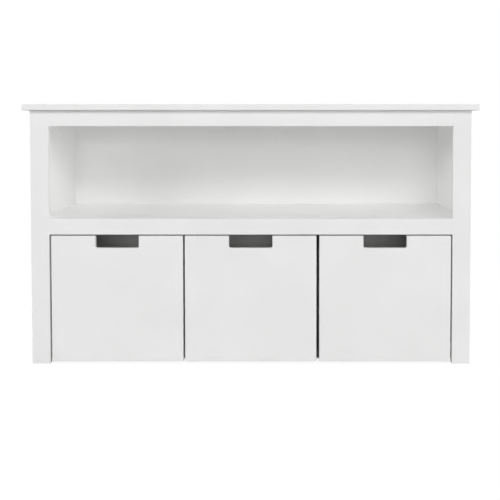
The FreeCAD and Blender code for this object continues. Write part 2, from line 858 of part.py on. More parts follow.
def make_bin_pieces(fasteners):
    """The pieces of one bin by name, about the bin's own middle."""
    boards = Boards()
    add_bin_boards(boards)
    screws = []
    for at, way, side, held_board in bin_screw_places():
        screws.append(copy_of(fasteners["screw"], at, facing(way)))
        boards.drill([side, held_board], copy_of(fasteners["screw_hole"], at, facing(way)))
    cams = []
    for at, way, face_way, bolt_board, lock_board in bin_cam_places():
        turn = facing(way, face_way)
        cams += [copy_of(fasteners["cam_bolt"], at, turn), copy_of(fasteners["cam_lock"], at, turn)]
        boards.drill([bolt_board, lock_board], copy_of(fasteners["cam_hole"], at, turn))
    brackets = []
    axles = []
    castor_screws = []
    for _, x, y in castor_places():
        brackets.append(copy_of(fasteners["castor_bracket"], (x, y, "bin_under")))
        axles.append(copy_of(fasteners["castor_axle"], (x, y, "wheel_radius"), facing(RIGHT)))
        for off_x, off_y in castor_screw_places():
            at = (f"{x} + {off_x}", f"{y} + {off_y}", "bin_under - plate_thickness")
            castor_screws.append(copy_of(fasteners["castor_screw"], at))
            boards.drill(["base"], copy_of(fasteners["castor_screw_hole"], at))
    pieces = dict(boards.finished())
    pieces["panel_screws"] = group("bin_screws_group", screws)
    pieces["cam_fittings"] = group("bin_cams_group", cams)
    pieces["castor_brackets"] = group("bin_brackets_group", brackets)
    pieces["castor_axles"] = group("bin_axles_group", axles)
    pieces["castor_screws"] = group("bin_castor_screws_group", castor_screws)
    return pieces


def build_bins(fasteners):
    pieces = make_bin_pieces(fasteners)
    wheel = make_castor_wheel()
    for name in "left_bin", "middle_bin", "right_bin":
        middle = f"{name}_middle"
        for piece_name, piece in pieces.items():
            keep(copy_of(piece, (middle, "0", "0")), f"{name}_{piece_name}")
        for place_name, x, y in castor_places():
            at = (f"{middle} + {x}", y, "wheel_radius")
            keep(copy_of(wheel, at, facing(RIGHT)), f"{name}_{place_name}_wheel")


def check_document():
    for obj in doc.Objects:
        if "Invalid" in obj.State or "Error" in obj.State:
            raise RuntimeError(f"{obj.Label}: {obj.State}")
    for node in nodes:
        if node.Shape.isNull() or not node.Shape.isValid() or not node.Shape.Solids:
            raise RuntimeError(f"{node.Label} has no valid solid")


def write_parts():
    os.makedirs("parts", exist_ok=True)
    for node in nodes:
        node.Shape.exportStep(f"parts/{node.Label}.step")
        print(f"{node.Label}: {len(node.Shape.Solids)} solids, {node.Shape.Volume / 1000:.1f} cm3")


dims = make_sheet()
fasteners = {
    "dowel": make_dowel(),
    "dowel_hole": make_dowel_hole(),
    "cam_bolt": make_cam_bolt(),
    "cam_lock": make_cam_lock(),
    "cam_hole": make_cam_hole(),
    "screw": make_screw(),
    "screw_hole": make_screw_hole(),
    "nail": make_nail(),
    "nail_hole": make_nail_hole(),
    "castor_bracket": make_castor_bracket(),
    "castor_axle": make_castor_axle(),
    "castor_screw": make_castor_screw(),
    "castor_screw_hole": make_castor_screw_hole(),
}
build_cabinet(fasteners)
build_bins(fasteners)
doc.recompute()
check_document()
write_parts()
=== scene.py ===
import math

import bmesh
import bpy
from mathutils import Matrix, Vector


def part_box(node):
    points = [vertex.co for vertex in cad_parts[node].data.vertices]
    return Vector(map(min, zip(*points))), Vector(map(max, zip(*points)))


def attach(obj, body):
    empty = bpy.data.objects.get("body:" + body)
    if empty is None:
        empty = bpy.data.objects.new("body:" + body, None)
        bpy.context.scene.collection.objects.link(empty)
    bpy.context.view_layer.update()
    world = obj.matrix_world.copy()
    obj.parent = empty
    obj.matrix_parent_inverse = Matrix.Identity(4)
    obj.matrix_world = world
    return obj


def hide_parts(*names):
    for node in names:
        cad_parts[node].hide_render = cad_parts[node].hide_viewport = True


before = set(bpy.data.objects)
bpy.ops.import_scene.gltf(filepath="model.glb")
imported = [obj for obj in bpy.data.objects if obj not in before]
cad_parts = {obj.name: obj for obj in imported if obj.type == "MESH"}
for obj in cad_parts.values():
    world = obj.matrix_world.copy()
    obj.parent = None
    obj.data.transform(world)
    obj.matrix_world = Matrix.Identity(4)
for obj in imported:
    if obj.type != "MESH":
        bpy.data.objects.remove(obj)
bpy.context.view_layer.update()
scene = bpy.context.scene
binNames = ("left_bin", "middle_bin", "right_bin")
onePlace = 1e-5  # metres between points that count as one place


# Node helpers

def addNode(tree, kind, inputs, **settings):
    node = tree.nodes.new(kind)
    for key, setting in settings.items():
        setattr(node, key, setting)
    for key, value in inputs.items():
        if isinstance(value, bpy.types.NodeSocket):
            tree.links.new(value, node.inputs[key])
        else:
            node.inputs[key].default_value = value
    return node


def mixColour(tree, factor, first, second):
    mix = addNode(tree, "ShaderNodeMix", {0: factor, 6: first, 7: second}, data_type="RGBA")
    return mix.outputs[2]


def noise(tree, where, scale, detail=2.0, roughness=0.5):
    made = addNode(
        tree, "ShaderNodeTexNoise",
        {"Vector": where, "Scale": scale, "Detail": detail, "Roughness": roughness},
    )
    return made.outputs["Fac"]


def ramp(tree, value, fromLow, fromHigh, toLow, toHigh):
    made = addNode(
        tree, "ShaderNodeMapRange",
        {"Value": value, "From Min": fromLow, "From Max": fromHigh, "To Min": toLow, "To Max": toHigh},
    )
    return made.outputs["Result"]


def math2(tree, operation, first, second):
    return addNode(tree, "ShaderNodeMath", {0: first, 1: second}, operation=operation).outputs[0]


def newMaterial(name):
    material = bpy.data.materials.new(name)
    material.use_nodes = True
    tree = material.node_tree
    where = addNode(tree, "ShaderNodeTexCoord", {}).outputs["Object"]
    return material, tree, tree.nodes["Principled BSDF"], where


def stretched(tree, where, scale):
    return addNode(tree, "ShaderNodeMapping", {"Vector": where, "Scale": scale}).outputs["Vector"]


def link(tree, shader, colour, roughness, height, bumpStrength, bumpDistance):
    bump = addNode(
        tree, "ShaderNodeBump",
        {"Strength": bumpStrength, "Distance": bumpDistance, "Height": height},
    )
    tree.links.new(colour, shader.inputs["Base Color"])
    tree.links.new(roughness, shader.inputs["Roughness"])
    tree.links.new(bump.outputs["Normal"], shader.inputs["Normal"])


# Finishes

softRange, wideRange, streakRange = (0.38, 0.62), (0.3, 0.7), (0.5, 0.75)  # of a noise, between two looks
paintLook = {
    "colour": (0.842, 0.842, 0.84, 1), "thinColour": (0.82, 0.82, 0.817, 1),  # full coat and thinner coat
    "edgeColour": (0.79, 0.788, 0.78, 1), "edgeShare": 0.35,  # sanded edges take less paint
    "scuffColour": (0.55, 0.54, 0.53, 1), "scuffShare": 0.16,  # floor dirt on the lowest edge
    "scuffHeight": 0.05, "scuffStretch": (30, 30, 160),
    "cloudScale": 6.0, "wearScale": 35.0, "leastWear": 0.2, "peelScale": 420.0, "nibScale": 60.0,
    "satin": (0.58, 0.68), "edgeRoughness": 0.08, "gloss": 0.12,
    "bump": 0.10, "bumpDepth": 0.0003, "lacquer": 0.0, "lacquerRoughness": 0.2,
}
panelPaintedLightLook = {  # the boards of the shaded compartment and the bins get a whiter copy of the paint: painted light that brightens them
    **paintLook, "colour": (0.915, 0.915, 0.912, 1), "thinColour": (0.90, 0.90, 0.897, 1),
    "gloss": 0.22,
}
shelfCoatPaintedLightLook = {  # the shelf's coating is smoother, and its colour is whiter still: painted light that brightens the shaded shelf
    **panelPaintedLightLook, "colour": (0.935, 0.935, 0.932, 1), "thinColour": (0.925, 0.925, 0.922, 1),
    "gloss": 0.3, "lacquer": 1.0, "lacquerRoughness": 0.12, "bump": 0.015,
}


def makePaint(name, look):
    material, tree, shader, where = newMaterial(name)
    shader.inputs["Specular IOR Level"].default_value = look["gloss"]
    shader.inputs["Coat Weight"].default_value = look["lacquer"]
    shader.inputs["Coat Roughness"].default_value = look["lacquerRoughness"]
    cloud = ramp(tree, noise(tree, where, look["cloudScale"]), *softRange, 0.0, 1.0)
    coat = mixColour(tree, cloud, look["colour"], look["thinColour"])
    edge = addNode(tree, "ShaderNodeAttribute", {}, attribute_name="edgeBand").outputs["Fac"]
    wear = ramp(tree, noise(tree, where, look["wearScale"]), *wideRange, look["leastWear"], 1.0)
    worn = math2(tree, "MULTIPLY", edge, wear)
    coat = mixColour(tree, math2(tree, "MULTIPLY", worn, look["edgeShare"]), coat, look["edgeColour"])
    height = addNode(tree, "ShaderNodeSeparateXYZ", {0: where}).outputs["Z"]
    low = ramp(tree, height, 0.0, look["scuffHeight"], 1.0, 0.0)
    streak = noise(tree, stretched(tree, where, look["scuffStretch"]), 1.0, 4.0)
    streak = ramp(tree, streak, *streakRange, 0.0, 1.0)
    scuff = math2(tree, "MULTIPLY", math2(tree, "MULTIPLY", low, streak), look["scuffShare"])
    coat = mixColour(tree, scuff, coat, look["scuffColour"])
    satin = ramp(tree, noise(tree, where, look["nibScale"], 3.0), *wideRange, *look["satin"])
    satin = math2(tree, "ADD", satin, math2(tree, "MULTIPLY", worn, look["edgeRoughness"]))
    peel = noise(tree, where, look["peelScale"], 1.0)
    link(tree, shader, coat, satin, peel, look["bump"], look["bumpDepth"])
    return material


backLook = {
    "inside": (0.912, 0.912, 0.909, 1), "insideThin": (0.898, 0.898, 0.894, 1),  # coated face inside, whiter than the front paint: painted light for the shaded compartment
    "fibre": (0.40, 0.275, 0.165, 1), "fibreDark": (0.27, 0.175, 0.10, 1),  # bare fibreboard at the rear
    "speckStretch": (260, 260, 420), "patchScale": 14.0, "patchShare": 0.4, "mottle": (0.45, 0.95),
    "cloudScale": 6.0, "nibScale": 60.0, "peelScale": 420.0, "grainShare": 3.0,
    "satin": (0.55, 0.65), "gloss": 0.22, "bareRoughness": 0.82, "bump": 0.15, "bumpDepth": 0.0003,
}


def makeBackBoard(look):
    low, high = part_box("back_panel")
    material, tree, shader, where = newMaterial("backBoard")
    shader.inputs["Specular IOR Level"].default_value = look["gloss"]
    depth = addNode(tree, "ShaderNodeSeparateXYZ", {0: where}).outputs["Y"]
    rear = math2(tree, "GREATER_THAN", depth, (low.y + high.y) / 2)
    cloud = ramp(tree, noise(tree, where, look["cloudScale"]), *softRange, 0.0, 1.0)
    coat = mixColour(tree, cloud, look["inside"], look["insideThin"])
    speck = noise(tree, stretched(tree, where, look["speckStretch"]), 1.0, 5.0, 0.65)
    patch = math2(tree, "MULTIPLY", noise(tree, where, look["patchScale"], 3.0), look["patchShare"])
    mottle = ramp(tree, math2(tree, "ADD", speck, patch), *look["mottle"], 0.0, 1.0)
    bare = mixColour(tree, mottle, look["fibre"], look["fibreDark"])
    colour = mixColour(tree, rear, coat, bare)
    satin = ramp(tree, noise(tree, where, look["nibScale"], 3.0), *wideRange, *look["satin"])
    rough = math2(tree, "MAXIMUM", satin, math2(tree, "MULTIPLY", rear, look["bareRoughness"]))
    peel = noise(tree, where, look["peelScale"], 1.0)
    grain = math2(tree, "MULTIPLY", math2(tree, "MULTIPLY", speck, rear), look["grainShare"])
    link(tree, shader, colour, rough, math2(tree, "ADD", peel, grain), look["bump"], look["bumpDepth"])
    return material


zincLook = {
    "colour": (0.66, 0.67, 0.69, 1), "dull": (0.50, 0.51, 0.53, 1), "metallic": 1.0,
    "spangleScale": 260.0, "spangle": (0.35, 0.65), "roughness": (0.26, 0.45),
    "scratchScale": 900.0, "scratchStretch": (1, 6, 6), "bump": 0.12, "bumpDepth": 0.00005,
}


def makeZinc(look):
    material, tree, shader, where = newMaterial("zincSteel")
    shader.inputs["Metallic"].default_value = look["metallic"]
    spangle = ramp(tree, noise(tree, where, look["spangleScale"], 3.0), *look["spangle"], 0.0, 1.0)
    colour = mixColour(tree, spangle, look["colour"], look["dull"])
    rough = ramp(tree, spangle, 0.0, 1.0, *look["roughness"])
    brushed = noise(tree, stretched(tree, where, look["scratchStretch"]), look["scratchScale"], 2.0)
    link(tree, shader, colour, rough, brushed, look["bump"], look["bumpDepth"])
    return material


nylonLook = {
    "colour": (0.055, 0.056, 0.06, 1), "chalk": (0.10, 0.10, 0.105, 1),  # black, greyer in patches
    "chalkScale": 120.0, "chalkRange": (0.4, 0.65), "roughness": (0.42, 0.6),
    "grainScale": 2400.0, "bump": 0.2, "bumpDepth": 0.0001,
}


def makeNylon(look):
    material, tree, shader, where = newMaterial("castorNylon")
    chalk = ramp(tree, noise(tree, where, look["chalkScale"], 3.0), *look["chalkRange"], 0.0, 1.0)
    colour = mixColour(tree, chalk, look["colour"], look["chalk"])
    rough = ramp(tree, chalk, 0.0, 1.0, *look["roughness"])
    grain = noise(tree, where, look["grainScale"], 2.0)
    link(tree, shader, colour, rough, grain, look["bump"], look["bumpDepth"])
    return material


beechLook = {
    "colour": (0.66, 0.46, 0.29, 1), "ray": (0.50, 0.32, 0.18, 1),
    "grainStretch": (900, 900, 120), "rayRange": (0.4, 0.7),
    "roughness": (0.5, 0.65), "bump": 0.2, "bumpDepth": 0.0001,
}


def makeBeech(look):
    material, tree, shader, where = newMaterial("beechDowel")
    grain = noise(tree, stretched(tree, where, look["grainStretch"]), 1.0, 4.0, 0.6)
    rays = ramp(tree, grain, *look["rayRange"], 0.0, 1.0)
    colour = mixColour(tree, rays, look["colour"], look["ray"])
    rough = ramp(tree, grain, *wideRange, *look["roughness"])
    link(tree, shader, colour, rough, grain, look["bump"], look["bumpDepth"])
    return material


whitePaint = makePaint("whitePaint", paintLook)
# whiter copy of the white paint: painted light for boards that sit in shade
panelCoat = makePaint("panelCoat", panelPaintedLightLook)
# lacquered shelf finish with a whiter colour: painted light for the shelf in the compartment's shade
shelfLacquerAndPaintedLight = makePaint("shelfLacquerAndPaintedLight", shelfCoatPaintedLightLook)
backBoard = makeBackBoard(backLook)
zincSteel = makeZinc(zincLook)
castorNylon = makeNylon(nylonLook)
beechDowel = makeBeech(beechLook)
print("finishes:", len(bpy.data.materials))


# Mesh helpers

mergeGap, cutGap = 1e-6, 2e-6  # metres between points that become one, in a CAD mesh and after a cut


def camelName(node):
    first, *rest = node.split("_")
    return first + "".join(word.capitalize() for word in rest)


def prism(outline, axis, low, high):
    mesh = bmesh.new()
    layers = []
    for depth in (low, high):
        layers.append([mesh.verts.new([*point[:axis], depth, *point[axis:]]) for point in outline])
    mesh.faces.new(layers[0])
    mesh.faces.new(layers[1])
    for i in range(len(outline)):
        j = (i + 1) % len(outline)
        mesh.faces.new((layers[0][i], layers[0][j], layers[1][j], layers[1][i]))
    bmesh.ops.recalc_face_normals(mesh, faces=mesh.faces[:])
    return mesh


def polygon(count, radius):
    turns = [math.tau * i / count for i in range(count)]
    return [(radius * math.cos(turn), radius * math.sin(turn)) for turn in turns]


def turned(profile, steps=32):
    mesh = bmesh.new()  # profile of radius and height, turned about Z
    closed = profile[0] == profile[-1]
    rings = [
        [mesh.verts.new((*point, height)) for point in polygon(steps if radius else 1, radius)]
        for radius, height in profile[:len(profile) - closed]
    ]
    for low, high in zip(rings, rings[1:] + rings[:closed]):
        for i in range(steps):
            j = i + 1
            corners = (low[i % len(low)], low[j % len(low)], high[j % len(high)], high[i % len(high)])
            mesh.faces.new(list(dict.fromkeys(corners)))  # a point on the axis counts once
    bmesh.ops.recalc_face_normals(mesh, faces=mesh.faces[:])
    return mesh


def newObject(name, mesh):
    data = bpy.data.meshes.new(name)
    mesh.to_mesh(data)
    mesh.free()
    made = bpy.data.objects.new(name, data)
    scene.collection.objects.link(made)
    return made


def settle(piece):
    graph = bpy.context.evaluated_depsgraph_get()
    made = bpy.data.meshes.new_from_object(piece.evaluated_get(graph))
    plain = piece.data
    piece.modifiers.clear()
    piece.data = made
    bpy.data.meshes.remove(plain)


def join(meshes):
    whole = bmesh.new()
    spare = bpy.data.meshes.new("spare")
    for mesh in meshes:
        mesh.to_mesh(spare)
        mesh.free()
        whole.from_mesh(spare)
    bpy.data.meshes.remove(spare)
    return whole


def weld(piece):
    mesh = bmesh.new()  # a cut can leave points twice in one place
    mesh.from_mesh(piece.data)
    bmesh.ops.remove_doubles(mesh, verts=mesh.verts[:], dist=cutGap)
    bmesh.ops.dissolve_degenerate(mesh, edges=mesh.edges[:], dist=cutGap)
    mesh.to_mesh(piece.data)
    mesh.free()


def carve(piece, cutters, operation="DIFFERENCE"):
    tool = newObject("tool", join(cutters))
    cut = piece.modifiers.new("cut", "BOOLEAN")
    cut.object = tool
    cut.operation = operation
    cut.solver = "EXACT"
    cut.use_self = True  # pockets and the holes that run into them overlap
    settle(piece)
    weld(piece)
    spare = tool.data
    bpy.data.objects.remove(tool)
    bpy.data.meshes.remove(spare)


def carved(mesh, cutters, operation="DIFFERENCE"):
    blank = newObject("blank", mesh)
    carve(blank, cutters, operation)
    made = bmesh.new()
    made.from_mesh(blank.data)
    spare = blank.data
    bpy.data.objects.remove(blank)
    bpy.data.meshes.remove(spare)
    return made


def smooth(piece, angle=50):
    piece.data.polygons.foreach_set("use_smooth", [True] * len(piece.data.polygons))
    piece.data.set_sharp_from_angle(angle=math.radians(angle))
    even = piece.modifiers.new("even", "WEIGHTED_NORMAL")  # keeps broad faces flat beside rounded edges
    even.keep_sharp = True
    settle(piece)


def dress(piece, body, node, material):
    piece.data.materials.clear()
    piece.data.materials.append(material)
    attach(piece, body)
    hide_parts(node)
    return piece


def islands(node):
    mesh = bmesh.new()
    mesh.from_mesh(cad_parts[node].data)
    bmesh.ops.remove_doubles(mesh, verts=mesh.verts[:], dist=mergeGap)
    seen = set()
    solids = []
    for start in mesh.verts:
        if start in seen:
            continue
        seen.add(start)
        found = [start]
        for vert in found:
            for edge in vert.link_edges:
                other = edge.other_vert(vert)
                if other not in seen:
                    seen.add(other)
                    found.append(other)
        points = [vert.co.copy() for vert in found]
        low = Vector([min(point[i] for point in points) for i in range(3)])
        high = Vector([max(point[i] for point in points) for i in range(3)])
        solids.append((low, high, points))
    mesh.free()
    return solids


# Boards

boardLook = {
    "round": 0.0009, "topRound": 0.002, "innerRound": 0.0005,  # eased edges, in metres
    "jointRound": 0.0003, "thinRound": 0.0004, "steps": 3,
    "flat": 0.999,  # a face turned further off its axis is an eased edge
    "rebatePlay": 0.0005,
}


def roundBoard(piece, mesh, radiusOf, widest):
    weights = mesh.edges.layers.float.new("bevel_weight_edge")
    for edge in mesh.edges:
        edge[weights] = radiusOf(edge) / widest
    mesh.to_mesh(piece.data)
    mesh.free()
    ease = piece.modifiers.new("ease", "BEVEL")
    ease.width = widest
    ease.segments = boardLook["steps"]
    ease.limit_method = "WEIGHT"
    settle(piece)


def markEdges(piece):
    band = piece.data.attributes.new("edgeBand", "FLOAT", "FACE")
    for face, item in zip(piece.data.polygons, band.data):
        item.value = 0.0 if max(abs(part) for part in face.normal) > boardLook["flat"] else 1.0


def makeBoard(
    node, body, outline=None, axis=2, radiusOf=None, widest=None, pockets=(),
    material=whitePaint,
):
    low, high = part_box(node)
    if outline is None:
        i, j = [k for k in range(3) if k != axis]
        outline = [(low[i], low[j]), (high[i], low[j]), (high[i], high[j]), (low[i], high[j])]
    mesh = prism(outline, axis, low[axis], high[axis])
    widest = widest or boardLook["round"]
    piece = bpy.data.objects.new(camelName(node), bpy.data.meshes.new(camelName(node)))
    scene.collection.objects.link(piece)
    roundBoard(piece, mesh, radiusOf or (lambda edge: widest), widest)
    cutters = list(pockets) + list(rodHoles(node, body))
    if cutters:
        carve(piece, cutters)
    markEdges(piece)
    smooth(piece)
    return dress(piece, body, node, material)


overrun = 0.001  # metres that a cutter stands out of what it cuts


def drill(start, way, radius, depth, beyond=overrun):
    mesh = turned([(0, -depth), (radius, -depth), (radius, beyond), (0, beyond)])  # sunk from a face
    turn = Vector((0, 0, 1)).rotation_difference(Vector(way)).to_matrix().to_4x4()
    mesh.transform(Matrix.Translation(start) @ turn)
    return mesh


fixingKinds = (
    "wood_dowels", "cam_fittings", "back_panel_nails", "panel_screws",
    "castor_brackets", "castor_axles", "castor_screws",
)
fixings = {node: islands(node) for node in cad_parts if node.endswith(fixingKinds)}
holeLook = {  # hole radius for each kind of rod
    "wood_dowels": 0.0041, "cam_fittings": 0.0031, "back_panel_nails": 0.001,
    "panel_screws": 0.0029, "castor_screws": 0.00185,
}
holeEnd = 0.0005  # room past a rod's end
rodRatio = 1.5  # a rod is longer than this many times its width
leastBite = 0.001  # a rod goes at least this far into a board that it holds


def longAxis(low, high):
    size = high - low
    return max(range(3), key=lambda i: size[i])


def isRod(low, high):
    size = sorted(high - low)
    return size[2] > rodRatio * size[1]


def along(axis, sign=1.0):
    way = Vector((0, 0, 0))
    way[axis] = sign
    return way


def endOf(low, high, way):
    end = (low + high) / 2  # middle of the box's face that lies this way
    for i in range(3):
        if way[i]:
            end[i] = high[i] if way[i] > 0 else low[i]
    return end


def rodHoles(board, body):
    low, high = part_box(board)
    for kind, radius in holeLook.items():
        node = kind if body == "cabinet" else f"{body}_{kind}"
        for start, end, points in fixings.get(node, ()):
            if not isRod(start, end):
                continue
            if any(min(end[i], high[i]) - max(start[i], low[i]) < leastBite for i in range(3)):
                continue
            axis = longAxis(start, end)
            depth = end[axis] - start[axis] + holeEnd
            yield drill(endOf(start, end, along(axis)), along(axis), radius, depth, holeEnd)


lockLook = {
    "radius": 0.0075, "play": 0.0001, "depth": 0.0115, "rim": 0.0004, "around": 40,
    "waist": (-0.003, -0.0026), "groove": 0.0012,
    "slot": 0.009, "slotWidth": 0.0016, "slotDepth": 0.002,
    "drive": 0.0075, "grip": 0.0045, "boltHole": 0.0031,
    "leastWidth": 0.012, "roundWithin": 0.001, "reach": 0.0005,  # tells a lock from a bolt, and its board
}


def lockPlaces(node, middle):
    for low, high, points in fixings[node]:
        size = high - low
        axis = min(range(3), key=lambda i: size[i])
        others = [size[i] for i in range(3) if i != axis]
        if max(others) - min(others) > lockLook["roundWithin"] or max(others) < lockLook["leastWidth"]:
            continue  # a bolt
        way = along(axis, 1.0 if axis == 0 and (low.x + high.x) / 2 < middle else -1.0)
        yield endOf(low, high, way), way


def lockPockets(node, places):
    low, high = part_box(node)
    reach = lockLook["reach"]
    for face, way in places:
        if all(low[i] - reach <= face[i] <= high[i] + reach for i in range(3)):
            yield drill(face, way, lockLook["radius"] + lockLook["play"], lockLook["depth"])


def sideOutline(node):
    low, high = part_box(node)
    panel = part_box("back_panel")
    rebate = panel[0].y  # the back panel lies in a step along the rear edge
    if low.x < 0:
        inner, outer, step = high.x, low.x, panel[0].x - boardLook["rebatePlay"]
    else:
        inner, outer, step = low.x, high.x, panel[1].x + boardLook["rebatePlay"]
    return [
        (outer, low.y), (inner, low.y), (inner, rebate), (step, rebate), (step, high.y), (outer, high.y),
    ]


def lies(edge, axis, level):
    return all(abs(vert.co[axis] - level) < onePlace for vert in edge.verts)


def frameRadius(node):
    low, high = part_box(node)
    inner = high.x if low.x < 0 else low.x
    return lambda edge: boardLook["innerRound" if lies(edge, 0, inner) else "round"]


def railRadius(node):
    low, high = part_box(node)

    def radiusOf(edge):
        joint = lies(edge, 0, low.x) or lies(edge, 0, high.x) or lies(edge, 1, high.y)
        return boardLook["jointRound" if joint else "round"]
    return radiusOf


wallHole = {"radius": 0.00275, "spacing": 0.6, "height": 0.644}


def wallHoles(node):
    low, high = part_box(node)
    depth = high.y - low.y + overrun
    for across in (-wallHole["spacing"] / 2, wallHole["spacing"] / 2):
        yield drill((across, high.y, wallHole["height"]), (0, 1, 0), wallHole["radius"], depth)


cabinetLocks = list(lockPlaces("cam_fittings", 0.0))
makeBoard("top_panel", "cabinet", widest=boardLook["topRound"])
for side in ("left", "right"):
    panel, stile = f"{side}_side_panel", f"{side}_front_stile"
    holes = lockPockets(panel, cabinetLocks)
    # the side panels take the whiter copy of the paint: painted light for their shaded inner faces
    makeBoard(panel, "cabinet", sideOutline(panel), pockets=holes, material=panelCoat)
    makeBoard(stile, "cabinet", radiusOf=frameRadius(stile))
for rail in ("top_front_rail", "shelf_front_rail"):
    makeBoard(rail, "cabinet", radiusOf=railRadius(rail))
makeBoard(
    "shelf_panel", "cabinet", radiusOf=lambda edge: 0.0,  # its edges meet other boards and stay sharp
    pockets=lockPockets("shelf_panel", cabinetLocks), material=shelfLacquerAndPaintedLight,
)
for rail in ("top_rear_rail", "shelf_rear_rail", "bottom_rear_rail"):
    holes = list(lockPockets(rail, cabinetLocks))
    if rail == "top_rear_rail":
        holes += wallHoles(rail)
    # the rear rails take the whiter copy of the paint: painted light for the shaded interior
    makeBoard(rail, "cabinet", pockets=holes, material=panelCoat)
makeBoard(
    "back_panel", "cabinet", widest=boardLook["thinRound"], pockets=wallHoles("back_panel"),
    material=backBoard,
)
print("cabinet boards done")


# Bins

binLook = {
    "slotWidth": 0.114, "slotDepth": 0.032, "slotRound": 0.005, "slotSteps": 6,  # finger cut-out
    "gentle": 0.5,  # radians, less than a corner that is eased
    "screwPocket": 0.00485, "screwDepth": 0.0025,
}


def middleOf(name):
    low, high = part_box(f"{name}_base")
    return (low.x + high.x) / 2


def frontOutline(node):
    low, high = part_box(node)
    middle = (low.x + high.x) / 2
    half, radius = binLook["slotWidth"] / 2, binLook["slotRound"]
    bottom = high.z - binLook["slotDepth"]
    points = [(low.x, low.z), (high.x, low.z), (high.x, high.z), (middle + half, high.z)]
    for side, first in ((1, 0.0), (-1, 0.5)):
        for step in range(binLook["slotSteps"] + 1):
            turn = math.pi * (first + 0.5 * step / binLook["slotSteps"])
            points.append((
                middle + side * (half - radius) + radius * math.cos(turn),
                bottom + radius - radius * math.sin(turn),
            ))
    return points + [(middle - half, high.z), (low.x, high.z)]


def slotRadius(node):
    low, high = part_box(node)

    def radiusOf(edge):
        across = [abs(vert.co.y - low.y) < onePlace for vert in edge.verts]
        if across[0] != across[1] and edge.calc_face_angle(0.0) < binLook["gentle"]:
            return 0.0  # inside the slot's round corners
        return boardLook["round"]
    return radiusOf


def screwPockets(name, node):
    low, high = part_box(node)
    middle = middleOf(name)
    outer, way = (low.x, (-1, 0, 0)) if low.x < middle else (high.x, (1, 0, 0))
    for start, end, points in fixings[f"{name}_panel_screws"]:
        centre = (start + end) / 2
        if (centre.x < middle) == (low.x < middle):
            yield drill((outer, centre.y, centre.z), way, binLook["screwPocket"], binLook["screwDepth"])


for name in binNames:
    locks = list(lockPlaces(f"{name}_cam_fittings", middleOf(name)))
    front = f"{name}_front"
    makeBoard(front, name, frontOutline(front), axis=1, radiusOf=slotRadius(front))
    for side in ("left_side", "right_side"):
        node = f"{name}_{side}"
        pockets = [*lockPockets(node, locks), *screwPockets(name, node)]
        # the bins' inner boards take the whiter copy of the paint: painted light that brightens their
        # shaded insides
        makeBoard(node, name, pockets=pockets, material=panelCoat)
    makeBoard(f"{name}_back", name, material=panelCoat)
    makeBoard(f"{name}_base", name, material=panelCoat)
print("bin boards done")


# Fittings, each made once and copied to its places

def placed(pattern, at, up, side=None):
    mesh = pattern.copy()
    if side is None:
        turn = Vector((0, 0, 1)).rotation_difference(up).to_matrix()
    else:
        across = (side - up * up.dot(side)).normalized()
        turn = Matrix((across, up.cross(across), up)).transposed()
    mesh.transform(Matrix.Translation(at) @ turn.to_4x4())
    return mesh


def spread(node, body, meshes, material=zincSteel):
    piece = newObject(camelName(node), join(meshes))
    smooth(piece, 35)
    return dress(piece, body, node, material)


def thread(low, high, radius, depth, pitch):
    count = max(1, round((high - low) / pitch))
    step = (high - low) / count
    points = []
    for turn in range(count):
        points += [(radius - depth, low + turn * step), (radius, low + (turn + 0.5) * step)]
    return points + [(radius - depth, high)]


def cross(length, width):
    a, b = length / 2, width / 2
    return [
        (-b, -a), (b, -a), (b, -b), (a, -b), (a, b), (b, b),
        (b, a), (-b, a), (-b, b), (-a, b), (-a, -b), (-b, -b),
    ]


def domed(look):
    return [(out * look["head"], up * look["headHeight"]) for out, up in look["dome"]]


def headPlaces(node):
    for low, high, points in fixings[node]:
        axis = longAxis(low, high)
        centre = (low + high) / 2

        def reach(point):
            return sum((point[i] - centre[i]) ** 2 for i in range(3) if i != axis)

        widest = max(points, key=reach)
        up = along(axis, 1.0 if widest[axis] > centre[axis] else -1.0)
        yield endOf(low, high, up), up  # middle of the head's outer face


dowelLook = {"radius": 0.004, "length": 0.029, "flutes": 14, "fluteDepth": 0.0003, "taper": 0.001}


def makeDowel(look):
    mesh = bmesh.new()
    count = look["flutes"] * 2
    half, taper = look["length"] / 2, look["taper"]
    rings = []
    for height, shrink in ((-half, taper), (taper - half, 0), (half - taper, 0), (half, taper)):
        ring = []
        for i in range(count):
            out = look["radius"] - shrink - (i % 2) * look["fluteDepth"]
            turn = math.tau * i / count
            ring.append(mesh.verts.new((out * math.cos(turn), out * math.sin(turn), height)))
        rings.append(ring)
    mesh.faces.new(rings[0][::-1])
    mesh.faces.new(rings[-1])
    for low, high in zip(rings, rings[1:]):
        for i in range(count):
            j = (i + 1) % count
            mesh.faces.new((low[i], low[j], high[j], high[i]))
    return mesh


dowel = makeDowel(dowelLook)
dowels = [
    placed(dowel, (low + high) / 2, along(longAxis(low, high)))
    for low, high, points in fixings["wood_dowels"]
]
spread("wood_dowels", "cabinet", dowels, beechDowel)

nailLook = {
    "head": 0.0024, "headHeight": 0.0008, "radius": 0.0009, "length": 0.016, "point": 0.0018,
    "dome": ((0.94, -1), (1, -0.75), (1, -0.5), (0.8, -0.12), (0.4, 0), (0, 0)),  # shares of the head
    "rings": 0.0001, "ringPitch": 0.0006, "ringShare": 0.5, "neck": 0.001, "around": 20,
}


def makeNail(look):
    high, radius = look["headHeight"], look["radius"]
    tip = -high - look["length"]
    ringed = -look["ringShare"] * look["length"]
    return turned([
        (0, tip), (radius, tip + look["point"]),
        *thread(ringed, -high - look["neck"], radius, look["rings"], look["ringPitch"]),
        (radius, -high), *domed(look),
    ], look["around"])


nail = makeNail(nailLook)
nails = [placed(nail, *spot) for spot in headPlaces("back_panel_nails")]
spread("back_panel_nails", "cabinet", nails)

